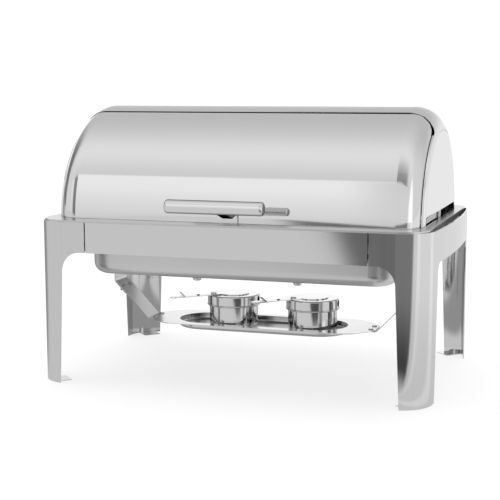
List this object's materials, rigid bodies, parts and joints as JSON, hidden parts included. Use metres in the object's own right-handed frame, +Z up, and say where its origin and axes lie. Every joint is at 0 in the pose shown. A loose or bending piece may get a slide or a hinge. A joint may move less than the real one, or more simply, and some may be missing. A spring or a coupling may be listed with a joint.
{
  "type": "chafing dish food warmer",
  "caption": "Roll-top chafing dish: a rectangular food pan and water pan on a sheet stand with bowed ends, burners on a hung tray, and a half-drum lid that rolls back under a hood.",
  "frame": {"origin": "on the floor, at the middle of the whole footprint, handle included", "axes": "+Z up, +X to the right along the dish, the handle side faces -Y"},
  "size_m": [0.6708, 0.4798, 0.456],
  "materials": {
    "stand_steel": "polished",
    "cover_steel": "mirror polished",
    "pan_steel": "satin",
    "food_pan_steel": "satin",
    "tray_steel": "polished",
    "burner_steel": "polished",
    "handle_steel": "mirror polished",
    "hardware_steel": "plain",
    "nylon": "matte"
  },
  "bodies": {
    "stand": {"back_rail": "stand_steel", "end_frame_left": "stand_steel", "end_frame_right": "stand_steel", "foot_tabs": "stand_steel", "front_rail": "stand_steel", "fuel_tray": "tray_steel", "joint_nuts": "hardware_steel", "joint_screws": "hardware_steel", "joint_washers": "nylon", "tray_arm_left": "tray_steel", "tray_arm_right": "tray_steel", "tray_hanger_left": "tray_steel", "tray_hanger_right": "tray_steel", "tray_nuts": "hardware_steel", "tray_rivets": "hardware_steel", "tray_screws": "hardware_steel"},
    "water_pan": {"water_pan": "pan_steel", "pan_studs": "pan_steel"},
    "food_pan": {"food_pan": "food_pan_steel"},
    "hood": {"hood": "cover_steel", "pivot_plates": "hardware_steel", "pivot_pins": "hardware_steel", "pivot_washers": "nylon", "pivot_caps": "hardware_steel"},
    "lid": {"lid": "cover_steel", "handle_tube": "handle_steel", "handle_caps": "handle_steel", "handle_bracket": "handle_steel", "handle_screws": "handle_steel", "handle_nuts": "handle_steel"},
    "burner_left": {"burner_left_cup": "burner_steel", "burner_left_collar": "burner_steel", "burner_left_rivet": "burner_steel"},
    "shutter_left": {"burner_left_shutter": "burner_steel"},
    "burner_right": {"burner_right_cup": "burner_steel", "burner_right_collar": "burner_steel", "burner_right_rivet": "burner_steel"},
    "shutter_right": {"burner_right_shutter": "burner_steel"}
  },
  "joints": [
    {"name": "lid_roll", "type": "hinge", "parent": "hood", "child": "lid", "pos_m": [0, 0.0209, 0.269], "axis": [-1, 0, 0], "range_deg": [0, 58]},
    {"name": "water_pan_lift", "type": "slide", "parent": "stand", "child": "water_pan", "axis": [0, 0, 1], "range_m": [0, 0.1]},
    {"name": "food_pan_lift", "type": "slide", "parent": "water_pan", "child": "food_pan", "axis": [0, 0, 1], "range_m": [0, 0.07]},
    {"name": "hood_lift", "type": "slide", "parent": "water_pan", "child": "hood", "axis": [0, 0, 1], "range_m": [0, 0.1]},
    {"name": "burner_left_lift", "type": "slide", "parent": "stand", "child": "burner_left", "axis": [0, 0, 1], "range_m": [0, 0.03]},
    {"name": "burner_right_lift", "type": "slide", "parent": "stand", "child": "burner_right", "axis": [0, 0, 1], "range_m": [0, 0.03]},
    {"name": "shutter_left_swing", "type": "hinge", "parent": "burner_left", "child": "shutter_left", "pos_m": [-0.08174, -0.00453, 0.1279], "axis": [0, 0, 1], "range_deg": [0, 90]},
    {"name": "shutter_right_swing", "type": "hinge", "parent": "burner_right", "child": "shutter_right", "pos_m": [0.06313, -0.00597, 0.1279], "axis": [0, 0, 1], "range_deg": [0, 90]}
  ]
}
